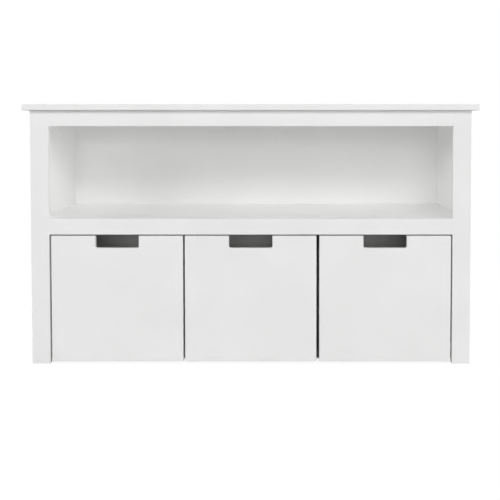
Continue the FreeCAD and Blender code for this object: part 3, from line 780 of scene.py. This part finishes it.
screwLook = {
    "head": 0.00475, "headDepth": 0.0025, "cone": 0.002, "rim": 0.0003,
    "radius": 0.0028, "length": 0.045, "point": 0.003, "neck": 0.009,
    "thread": 0.0006, "pitch": 0.0026, "runIn": 0.0002, "runOut": 0.0006,
    "socket": 0.0023, "socketSides": 6, "socketDepth": 0.0022, "around": 24,
}


def makeScrew(look):
    head, radius, rim = look["head"], look["radius"], look["rim"]
    under = -look["headDepth"] - look["cone"]
    neck = under - look["neck"]
    end = look["point"] - look["length"]
    blank = turned([
        (0, -look["length"]), (radius - look["thread"], end),
        *thread(end + look["runIn"], neck, radius, look["thread"], look["pitch"]),
        (radius, neck + look["runOut"]), (radius, under), (head, -look["headDepth"]),
        (head, -rim), (head - rim, 0), (0, 0),
    ], look["around"])
    socket = polygon(look["socketSides"], look["socket"])
    return carved(blank, [prism(socket, 2, -look["socketDepth"], overrun)])


boltLook = {
    "radius": 0.003, "length": 0.040, "seat": 0.0095, "around": 24,
    "thread": 0.0005, "pitch": 0.001, "runIn": 0.0002, "runOut": 0.0004,
    "collar": (0.0016, 0.002), "shank": 0.85, "neck": 0.0016, "tip": 0.97, "crown": 0.8,
    "neckEnds": (-0.0068, -0.0058, -0.0034, -0.0026), "tipEnd": -0.0008,  # from the tip
}


def makeBolt(look):
    radius, low, neck = look["radius"], -look["length"], look["neck"]
    seat = low + look["seat"]
    shank, tip = look["shank"] * radius, look["tip"] * radius
    shankEnd, neckLow, neckHigh, tipLow = look["neckEnds"]
    return turned([
        (0, low), (radius - look["thread"], low),
        *thread(low + look["runIn"], seat - look["runOut"], radius, look["thread"], look["pitch"]),
        (radius, seat), (radius, seat + look["collar"][0]), (shank, seat + look["collar"][1]),
        (shank, shankEnd), (neck, neckLow), (neck, neckHigh), (tip, tipLow), (tip, look["tipEnd"]),
        (look["crown"] * radius, 0), (0, 0),
    ], look["around"])  # screwed in at the low end, held by the lock at the other


def makeLock(look):
    radius, deep, rim, groove = look["radius"], -look["depth"], look["rim"], -look["groove"]
    inner = radius - rim
    waistLow, waistHigh = look["waist"]
    blank = turned([
        (0, deep), (inner, deep), (radius, deep + rim), (radius, waistLow), (inner, waistHigh),
        (inner, groove), (radius, groove + rim), (radius, -rim), (inner, 0), (0, 0),
    ], look["around"])
    hole, reach = look["boltHole"], look["grip"] + overrun
    socket = turned([(0, 0), (hole, 0), (hole, reach), (0, reach)])
    lie = Matrix.Rotation(math.pi / 2, 4, "Y")
    socket.transform(Matrix.Translation((radius - look["grip"], 0, -look["drive"])) @ lie)
    slot = prism(cross(look["slot"], look["slotWidth"]), 2, -look["slotDepth"], overrun)
    return carved(blank, [slot, socket])


def camPieces(node, locks):
    bolts = [(low, high) for low, high, points in fixings[node] if isRod(low, high)]
    for face, up in locks:
        low, high = min(bolts, key=lambda ends: ((ends[0] + ends[1]) / 2 - face).length)
        middle = (low + high) / 2
        yield placed(lock, face, up, middle - face)
        axis = longAxis(low, high)
        way = along(axis, 1.0 if face[axis] > middle[axis] else -1.0)
        yield placed(bolt, endOf(low, high, way), way)


lock, bolt = makeLock(lockLook), makeBolt(boltLook)
spread("cam_fittings", "cabinet", list(camPieces("cam_fittings", cabinetLocks)))
print("cabinet fittings done")

castorLook = {
    "plate": (0.040, 0.046), "sheet": 0.0015, "corner": 0.004, "cornerSteps": 6, "screwEdge": 0.0065,
    "legGap": 0.0065, "legLength": 0.026, "legEnd": 0.006, "legSteps": 12, "legCut": 0.01,
    "drop": 0.019, "bend": 0.001, "bendSteps": 4, "screwHole": 0.00185, "axleHole": 0.00205,
}


def roundedPlate(look):
    half = [side / 2 - look["corner"] for side in look["plate"]]
    points = []
    for quarter, (x, y) in enumerate(((1, 1), (-1, 1), (-1, -1), (1, -1))):
        for step in range(look["cornerSteps"] + 1):
            turn = math.pi / 2 * (quarter + step / look["cornerSteps"])
            points.append((
                x * half[0] + look["corner"] * math.cos(turn),
                y * half[1] + look["corner"] * math.sin(turn),
            ))
    return points


def makeBracket(look):
    sheet, bend, drop, end = look["sheet"], look["bend"], look["drop"], look["legEnd"]
    inner, outer, foot = look["legGap"], look["legGap"] + sheet, -drop - end - overrun
    half, root, reach = look["legLength"] / 2, -sheet - bend, outer + look["legCut"]
    shape = [(-half - bend, -sheet / 2), (-half - bend, -sheet), (-half, root)]
    for step in range(look["legSteps"] + 1):
        turn = math.pi * (1 + step / look["legSteps"])
        shape.append((end * math.cos(turn), -drop + end * math.sin(turn)))
    shape += [(half, root), (half + bend, -sheet), (half + bend, -sheet / 2)]
    curve = []  # round root of a leg, away from it and up to the plate
    for step in range(look["bendSteps"] + 1):
        turn = math.pi / 2 * step / look["bendSteps"]
        curve.append((bend * (1 - math.cos(turn)), root + bend * math.sin(turn)))
    legs = []
    for side in (-1, 1):
        section = [(side * inner, foot)]
        section += [(side * (inner - out), up) for out, up in curve]
        section += [(side * (inner - bend), -sheet / 2), (side * (outer + bend), -sheet / 2)]
        section += [(side * (outer + out), up) for out, up in curve[::-1]]
        section.append((side * outer, foot))
        leg = prism(section, 1, -half - 2 * bend, half + 2 * bend)
        legs.append(carved(leg, [prism(shape, 0, -reach, reach)], "INTERSECT"))
    bracket = carved(prism(roundedPlate(look), 2, -sheet, 0), legs, "UNION")
    x, y = (side / 2 - look["screwEdge"] for side in look["plate"])
    holes = [
        drill((a * x, b * y, 0), (0, 0, 1), look["screwHole"], sheet + overrun)
        for a in (-1, 1) for b in (-1, 1)
    ]
    holes.append(drill((outer, 0, -drop), (1, 0, 0), look["axleHole"], 2 * outer + overrun))
    return carved(bracket, holes)


axleLook = {
    "radius": 0.002, "half": 0.008, "head": 0.0035, "headHeight": 0.0012, "around": 28,
    "dome": ((0, 1), (0.45, 0.94), (0.8, 0.65), (1, 0.2), (1, 0)),  # shares of the head
}


def makeAxle(look):
    half = look["half"]
    upper = [(out, half + up) for out, up in domed(look)] + [(look["radius"], half)]
    return turned([(out, -up) for out, up in upper] + upper[::-1], look["around"])


castorScrewLook = {
    "head": 0.0031, "headHeight": 0.0018, "radius": 0.00175, "length": 0.0105, "point": 0.002,
    "dome": ((1, -1), (1, -0.75), (0.93, -0.5), (0.75, -0.2), (0.45, -0.04), (0, 0)),  # shares of the head
    "thread": 0.0004, "pitch": 0.0012, "neck": (0.0018, 0.0012), "around": 24,
    "cross": 0.0034, "crossWidth": 0.0008, "crossDepth": 0.001,
}


def makeCastorScrew(look):
    high, radius = look["headHeight"], look["radius"]
    tip = -high - look["length"]
    neckLow, neckHigh = (-high - below for below in look["neck"])
    blank = turned([
        (0, tip), *thread(tip + look["point"], neckLow, radius, look["thread"], look["pitch"]),
        (radius, neckHigh), (radius, -high), *domed(look),
    ], look["around"])
    recess = prism(cross(look["cross"], look["crossWidth"]), 2, -look["crossDepth"], overrun)
    return carved(blank, [recess])


wheelLook = {
    "radius": 0.015, "half": 0.006, "round": 0.002, "roundSteps": 5, "around": 56,
    "rim": 0.011, "web": 0.003, "hub": 0.005, "bore": 0.00208, "eased": 0.0005,
    "grooves": (-0.002, 0.0, 0.002), "grooveWidth": 0.0007, "grooveDepth": 0.0004, "grooveFloor": 0.4,
    "ribs": 6, "ribWidth": 0.0016, "ribHeight": 0.0048,
}


def makeWheel(look):
    radius, half, ease, edge = look["radius"], look["half"], look["eased"], look["round"]
    hub, web, rim = look["hub"], look["web"], look["rim"]
    side = [
        (look["bore"], half), (hub - ease, half), (hub, half - ease), (hub, web + ease), (hub + ease, web),
        (rim - ease, web), (rim, web + ease), (rim, half - ease), (rim + ease, half), (radius - edge, half),
    ]
    for step in range(1, look["roundSteps"] + 1):
        turn = math.pi / 2 * step / look["roundSteps"]
        side.append((radius - edge * (1 - math.sin(turn)), half - edge * (1 - math.cos(turn))))
    wide, deep = look["grooveWidth"] / 2, radius - look["grooveDepth"]
    flat = look["grooveFloor"] * wide
    tread = []
    for groove in sorted(look["grooves"], reverse=True):
        tread += [(radius, groove + wide), (deep, groove + flat)]
        tread += [(deep, groove - flat), (radius, groove - wide)]
    profile = side + tread + [(out, -up) for out, up in side[::-1]]
    wheel = turned(profile + profile[:1], look["around"])
    start, end, wide = hub - overrun, rim + overrun, look["ribWidth"] / 2
    ribs = []
    for step in range(look["ribs"]):
        bar = [(start, -wide), (end, -wide), (end, wide), (start, wide)]
        rib = prism(bar, 2, -look["ribHeight"], look["ribHeight"])
        rib.transform(Matrix.Rotation(math.tau * step / look["ribs"], 4, "Z"))
        ribs.append(rib)
    return carved(wheel, ribs, "UNION")


screw, bracket, axle = makeScrew(screwLook), makeBracket(castorLook), makeAxle(axleLook)
castorScrew, wheel = makeCastorScrew(castorScrewLook), makeWheel(wheelLook)
upright, sideways = Vector((0, 0, 1)), Vector((1, 0, 0))
for name in binNames:
    cams = f"{name}_cam_fittings"
    spread(cams, name, list(camPieces(cams, lockPlaces(cams, middleOf(name)))))
    for kind, pattern in (("panel_screws", screw), ("castor_screws", castorScrew)):
        node = f"{name}_{kind}"
        spread(node, name, [placed(pattern, *spot) for spot in headPlaces(node)])
    node = f"{name}_castor_brackets"
    spread(node, name, [
        placed(bracket, endOf(low, high, upright), upright) for low, high, points in fixings[node]
    ])
    node = f"{name}_castor_axles"
    spread(node, name, [placed(axle, (low + high) / 2, sideways) for low, high, points in fixings[node]])
    for place in ("front_left", "front_right", "rear_left", "rear_right"):
        node = f"{name}_{place}_wheel"
        low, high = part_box(node)
        spread(node, node, [placed(wheel, (low + high) / 2, sideways)], castorNylon)
print("bin fittings done")


# Studio

paperWhite = (1, 1, 1, 1)
studio = {
    "aim": (0.0, 0.0, 0.48), "distance": 9.0,
    "lamps": {  # degrees right of the front, degrees up, level, width and height
        "keySoftbox": (15.0, 29.0, 0.345, 5.0, 2.1),
        "frontFill": (2.6, 7.0, 0.125, 3.0, 1.2),
        "leftFill": (-45.0, 14.0, 0.18, 3.3, 1.8),
        "leftSide": (-75.0, 14.0, 0.20, 3.3, 1.8),
        "rightSide": (75.0, 4.0, 0.38, 3.3, 1.8),
        "overhead": (0.0, 85.0, 0.18, 3.9, 2.1),
        "rearLeft": (-140.0, 25.0, 0.25, 3.3, 2.1),
        "rearRight": (140.0, 25.0, 0.25, 3.3, 2.1),
    },
    "skyLevel": 0.15, "white": 1.0,
    "floorColour": (0.50, 0.50, 0.50, 1), "floorSize": 24.0,
    "shadowShare": 0.30, "shadowGlow": 0.26, "shadowReach": (0.8, 1.6),  # plain white beyond the reach
    "insideHalf": (0.55, 0.57), "insideFront": (-0.155, -0.13),  # full shade inside the cabinet
    "insideRear": (0.18, 0.2),
    "bounces": 16, "moreBounces": 4,  # white boards light each other
}


def whiteToCamera(tree):
    path = addNode(tree, "ShaderNodeLightPath", {})
    seen = math2(tree, "MAXIMUM", path.outputs["Is Camera Ray"], path.outputs["Is Glossy Ray"])
    return math2(tree, "MAXIMUM", seen, path.outputs["Is Transmission Ray"])


def makeWorld(look):
    world = bpy.data.worlds.new("studioWorld")
    scene.world = world
    world.use_nodes = True
    tree = world.node_tree
    tree.nodes.clear()
    sky, white = (
        addNode(tree, "ShaderNodeBackground", {"Color": paperWhite, "Strength": look[level]}).outputs[0]
        for level in ("skyLevel", "white")
    )
    both = addNode(tree, "ShaderNodeMixShader", {0: whiteToCamera(tree), 1: sky, 2: white})
    addNode(tree, "ShaderNodeOutputWorld", {"Surface": both.outputs[0]})


def makeFloor(look):
    half = look["floorSize"] / 2
    mesh = bmesh.new()
    corners = [mesh.verts.new((x * half, y * half, 0)) for x, y in ((-1, -1), (1, -1), (1, 1), (-1, 1))]
    mesh.faces.new(corners)
    floor = newObject("studioFloor", mesh)
    material = bpy.data.materials.new("floorPaper")
    material.use_nodes = True
    tree = material.node_tree
    tree.nodes.clear()
    where = addNode(tree, "ShaderNodeTexCoord", {}).outputs["Object"]
    away = addNode(tree, "ShaderNodeVectorMath", {0: where}, operation="LENGTH").outputs["Value"]
    near = ramp(tree, away, *look["shadowReach"], 1.0, 0.0)
    glow = math2(tree, "ADD", look["white"], math2(tree, "MULTIPLY", near, look["shadowGlow"]))
    paper = addNode(tree, "ShaderNodeBsdfDiffuse", {"Color": look["floorColour"]})
    light = addNode(tree, "ShaderNodeEmission", {"Color": paperWhite, "Strength": glow})
    spot = addNode(tree, "ShaderNodeSeparateXYZ", {0: where}).outputs
    inside = ramp(tree, math2(tree, "ABSOLUTE", spot["X"], 0.0), *look["insideHalf"], 1.0, 0.0)
    inside = math2(tree, "MULTIPLY", inside, ramp(tree, spot["Y"], *look["insideFront"], 0.0, 1.0))
    inside = math2(tree, "MULTIPLY", inside, ramp(tree, spot["Y"], *look["insideRear"], 1.0, 0.0))
    real = math2(tree, "MAXIMUM", inside, math2(tree, "MULTIPLY", near, look["shadowShare"]))
    plain = math2(tree, "SUBTRACT", 1.0, real)
    share = math2(tree, "MULTIPLY", whiteToCamera(tree), plain)
    both = addNode(tree, "ShaderNodeMixShader", {0: share, 1: paper.outputs[0], 2: light.outputs[0]})
    below = addNode(tree, "ShaderNodeNewGeometry", {}).outputs["Backfacing"]
    clear = addNode(tree, "ShaderNodeBsdfTransparent", {})  # seen from below, the floor is out of the way
    whole = addNode(tree, "ShaderNodeMixShader", {0: below, 1: both.outputs[0], 2: clear.outputs[0]})
    addNode(tree, "ShaderNodeOutputMaterial", {"Surface": whole.outputs[0]})
    floor.data.materials.append(material)


def makeLamps(look):
    for name, (across, up, level, width, height) in look["lamps"].items():
        lamp = bpy.data.lights.new(name, "AREA")
        lamp.shape = "RECTANGLE"
        lamp.size, lamp.size_y = width, height
        lamp.energy = level * (math.pi * look["distance"]) ** 2  # lights a white board at that level
        across, up = math.radians(across), math.radians(up)
        way = Vector((math.sin(across) * math.cos(up), -math.cos(across) * math.cos(up), math.sin(up)))
        made = bpy.data.objects.new(name, lamp)
        scene.collection.objects.link(made)
        made.location = Vector(look["aim"]) + way * look["distance"]
        made.rotation_euler = (-way).to_track_quat("-Z", "Y").to_euler()
        made.visible_camera = False


makeWorld(studio)
makeFloor(studio)
makeLamps(studio)
scene.cycles.diffuse_bounces = studio["bounces"]
scene.cycles.max_bounces = studio["bounces"] + studio["moreBounces"]
print("studio done")


# Camera

view = {
    "spot": (0.0946, -2.2078, 0.6332), "pitch": 2.04,
    "focal": 778.2, "frame": 500.0, "sensor": 36.0,  # focal length and frame in pixels, sensor in mm
    "middle": (287.1, 150.0),  # pixel where the optical axis meets the frame
}


def makeCamera(look):
    data = bpy.data.cameras.new("photoCamera")
    data.sensor_width = look["sensor"]
    data.lens = look["focal"] * look["sensor"] / look["frame"]
    data.shift_x = 0.5 - look["middle"][0] / look["frame"]
    data.shift_y = look["middle"][1] / look["frame"] - 0.5
    camera = bpy.data.objects.new("photoCamera", data)
    scene.collection.objects.link(camera)
    camera.location = look["spot"]
    camera.rotation_euler = (math.radians(90 - look["pitch"]), 0, 0)
    scene.camera = camera


makeCamera(view)
scene.view_settings.view_transform = "Standard"
